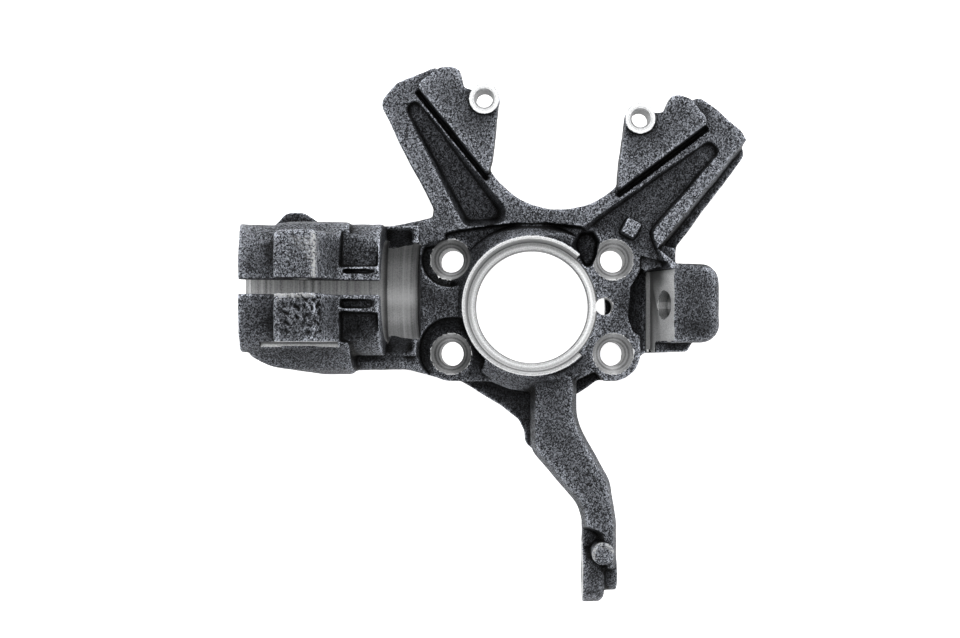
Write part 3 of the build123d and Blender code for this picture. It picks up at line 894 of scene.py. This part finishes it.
def cut_marks_group():
    """Node group of tool marks: a shade and a gloss that both wander with rings round the cut's axis."""
    group = bpy.data.node_groups.new("cut_marks", "ShaderNodeTree")
    for name in ("Ring Scale", "Grain Share"):
        group.interface.new_socket(name, in_out="INPUT", socket_type="NodeSocketFloat")
    group.interface.new_socket("Shade", in_out="OUTPUT", socket_type="NodeSocketFloat")
    group.interface.new_socket("Gloss", in_out="OUTPUT", socket_type="NodeSocketFloat")
    link = group.links.new
    given = group.nodes.new("NodeGroupInput")
    output = group.nodes.new("NodeGroupOutput")
    place = group.nodes.new("ShaderNodeTexCoord").outputs["Object"]
    reach = group.nodes.new("ShaderNodeAttribute")
    reach.attribute_name = "reach"
    rings = group.nodes.new("ShaderNodeTexNoise")
    rings.noise_dimensions = "1D"
    link(given.outputs["Ring Scale"], rings.inputs["Scale"])
    rings.inputs["Detail"].default_value = 5.0
    link(reach.outputs["Fac"], rings.inputs["W"])
    grain = group.nodes.new("ShaderNodeTexNoise")
    grain.inputs["Scale"].default_value = TOOL_GRAIN_SCALE
    grain.inputs["Detail"].default_value = 2.0
    link(place, grain.inputs["Vector"])
    both = group.nodes.new("ShaderNodeMath")
    both.operation = "MULTIPLY_ADD"
    link(grain.outputs["Fac"], both.inputs[0])
    link(given.outputs["Grain Share"], both.inputs[1])
    link(rings.outputs["Fac"], both.inputs[2])
    for name, low, high in (("Shade", 0.35, 1.45), ("Gloss", 0.35, 0.65)):
        level = group.nodes.new("ShaderNodeMapRange")
        level.inputs["From Min"].default_value = 0.5
        level.inputs["From Max"].default_value = 1.1
        level.inputs["To Min"].default_value = low
        level.inputs["To Max"].default_value = high
        link(both.outputs["Value"], level.inputs["Value"])
        link(level.outputs["Result"], output.inputs[name])
    return group


def machined_material(name, colour, metallic, steep_share, marks):
    """Freshly cut iron: grey metal whose shade and gloss follow the tool marks. Painted shade takes its colour
    down to the given share where it stands steep, a painted sheen lifts it where it lies level, and painted
    shade darkens it in the hollows."""
    material, tree, shader = new_material(name)
    shader.inputs["Metallic"].default_value = metallic
    source = tree.nodes.new("ShaderNodeGroup")
    source.node_tree = marks
    source.inputs["Ring Scale"].default_value = RING_SCALE
    source.inputs["Grain Share"].default_value = 0.6
    tint = tree.nodes.new("ShaderNodeVectorMath")
    tint.operation = "SCALE"
    tint.inputs[0].default_value = colour[:3]
    # Painted sheen on level cut faces, painted shade on steep ones and painted shade in the hollows.
    level = product(
        tree, source.outputs["Shade"],
        attribute_level(tree, "steep", 0.0, 1.0, 1.2, steep_share),
        attribute_level(tree, "hollow", 0.08, 0.35, 1.0, 0.3),
    )
    tree.links.new(level, tint.inputs["Scale"])
    tree.links.new(tint.outputs["Vector"], shader.inputs["Base Color"])
    tree.links.new(source.outputs["Gloss"], shader.inputs["Roughness"])
    return material


def casting_materials(values):
    """Materials in the order of their slots: cast skin, then bored, faced and milled iron."""
    skin = cast_skin_material(values)
    marks = cut_marks_group()
    return (
        skin,
        machined_material("bored_iron", values.bored, 0.5, 0.75, marks),
        machined_material("faced_iron", values.faced, 0.6, 0.75, marks),
        machined_material("milled_iron", values.milled, 0.1, 1.0, marks),
    )


# ---- Stage ----

# Place over the floor and share of the power of each low lamp.
RIM_LAMPS = (
    ("upper_lamp", (0.1, 1.0, 0.45), 2.0),
    ("left_lamp", (-1.0, 0.2, 0.45), 1.1),
    ("right_lamp", (1.0, 0.1, 0.45), 1.0),
    ("lower_lamp", (0.0, -1.0, 0.45), 0.7),
)
RIM_LAMP_SIZE = 0.5
KEY_LAMP_PLACE = (0.0, 0.3, 1.3)
KEY_LAMP_SIZE = 0.6
LAMP_TARGET = (0, 0, 0.03)

# The camera looks straight down, and its view is shifted by a few of the render's columns.
CAMERA_PLACE = (-1.7 * MM, -26.8 * MM)
RENDER_WIDTH = 960
SHIFT_COLUMNS = (-49, 34)


def area_lamp(name, place, target, size, power):
    """Soft square lamp that faces a target."""
    light = bpy.data.lights.new(name, "AREA")
    light.size = size
    light.energy = power
    lamp = bpy.data.objects.new(name, light)
    lamp.location = place
    lamp.rotation_euler = (Vector(target) - Vector(place)).to_track_quat("-Z", "Y").to_euler()
    bpy.context.scene.collection.objects.link(lamp)


def background_rays(tree):
    """Socket that is one for camera, glossy and transmission rays, and zero for the rays that light the
    object."""
    path = tree.nodes.new("ShaderNodeLightPath")
    result = path.outputs["Is Camera Ray"]
    for name in ("Is Glossy Ray", "Is Transmission Ray"):
        either = tree.nodes.new("ShaderNodeMath")
        either.operation = "MAXIMUM"
        tree.links.new(result, either.inputs[0])
        tree.links.new(path.outputs[name], either.inputs[1])
        result = either.outputs["Value"]
    return result


def pale_world(strength):
    """White behind the object and in its reflections, and a weaker white that lights it."""
    world = bpy.data.worlds.new("studio")
    world.use_nodes = True
    tree = world.node_tree
    background = tree.nodes["Background"]
    background.inputs["Color"].default_value = (1, 1, 1, 1)
    level = tree.nodes.new("ShaderNodeMapRange")
    level.inputs["To Min"].default_value = strength
    level.inputs["To Max"].default_value = 1.0
    tree.links.new(background_rays(tree), level.inputs["Value"])
    tree.links.new(level.outputs["Result"], background.inputs["Strength"])
    return world


def pale_floor():
    """White floor that keeps a soft shadow: it glows for the rays that see the background."""
    material, tree, shader = new_material("pale_floor")
    shader.inputs["Base Color"].default_value = (0.8, 0.8, 0.8, 1)
    shader.inputs["Roughness"].default_value = 0.9
    shader.inputs["Emission Color"].default_value = (1, 1, 1, 1)
    glow = tree.nodes.new("ShaderNodeMapRange")
    glow.inputs["To Min"].default_value = 0.3
    glow.inputs["To Max"].default_value = 0.9
    tree.links.new(background_rays(tree), glow.inputs["Value"])
    tree.links.new(glow.outputs["Result"], shader.inputs["Emission Strength"])
    return material


class KNUCKLE_OT_stage(Operator):
    """Adds the floor, lamps, world and camera"""

    bl_idname = "knuckle.stage"
    bl_label = "Stage"

    def execute(self, context):
        values = context.scene.knuckle_stage
        scene = context.scene
        scene.view_settings.view_transform = "Standard"
        corners = np.array([(-4, -4, 0), (4, -4, 0), (4, 4, 0), (-4, 4, 0)], float)
        corners[:, 2] = CAD_BOUNDS[0][2] - 2 * MM
        floor = make_object("floor", corners, [(0, 1, 2, 3)])
        floor.data.materials.append(pale_floor())
        area_lamp("key_lamp", KEY_LAMP_PLACE, LAMP_TARGET, KEY_LAMP_SIZE, values.key_strength)
        for name, place, share in RIM_LAMPS:
            area_lamp(name, place, LAMP_TARGET, RIM_LAMP_SIZE, share * values.rim_strength)
        scene.world = pale_world(values.world_strength)
        camera = bpy.data.cameras.new("camera")
        camera.lens = values.focal_length
        camera.sensor_width = 36.0
        camera.shift_x, camera.shift_y = (columns / RENDER_WIDTH for columns in SHIFT_COLUMNS)
        camera.clip_start = 0.01
        holder = bpy.data.objects.new("camera", camera)
        holder.location = (*CAMERA_PLACE, values.camera_height)
        scene.collection.objects.link(holder)
        scene.camera = holder
        return {"FINISHED"}


# ---- Panel and registration ----

class KNUCKLE_PT_panel(Panel):
    """Lists the knuckle's pieces and the stage"""

    bl_idname = "KNUCKLE_PT_panel"
    bl_label = "Steering Knuckle"
    bl_space_type = "VIEW_3D"
    bl_region_type = "UI"
    bl_category = "Knuckle"

    def draw(self, context):
        layout = self.layout
        for group, operator in (
            (context.scene.knuckle_casting, KNUCKLE_OT_casting),
            (context.scene.knuckle_stage, KNUCKLE_OT_stage),
        ):
            box = layout.box()
            for name in group.__annotations__:
                box.prop(group, name)
            box.operator(operator.bl_idname)


CLASSES = (KnuckleCasting, KnuckleStage, KNUCKLE_OT_casting, KNUCKLE_OT_stage, KNUCKLE_PT_panel)


def register():
    for item in CLASSES:
        bpy.utils.register_class(item)
    bpy.types.Scene.knuckle_casting = PointerProperty(type=KnuckleCasting)
    bpy.types.Scene.knuckle_stage = PointerProperty(type=KnuckleStage)


def unregister():
    del bpy.types.Scene.knuckle_stage
    del bpy.types.Scene.knuckle_casting
    for item in reversed(CLASSES):
        bpy.utils.unregister_class(item)


def main():
    register()
    bpy.ops.knuckle.casting()
    bpy.ops.knuckle.stage()


if __name__ == "__main__":
    main()
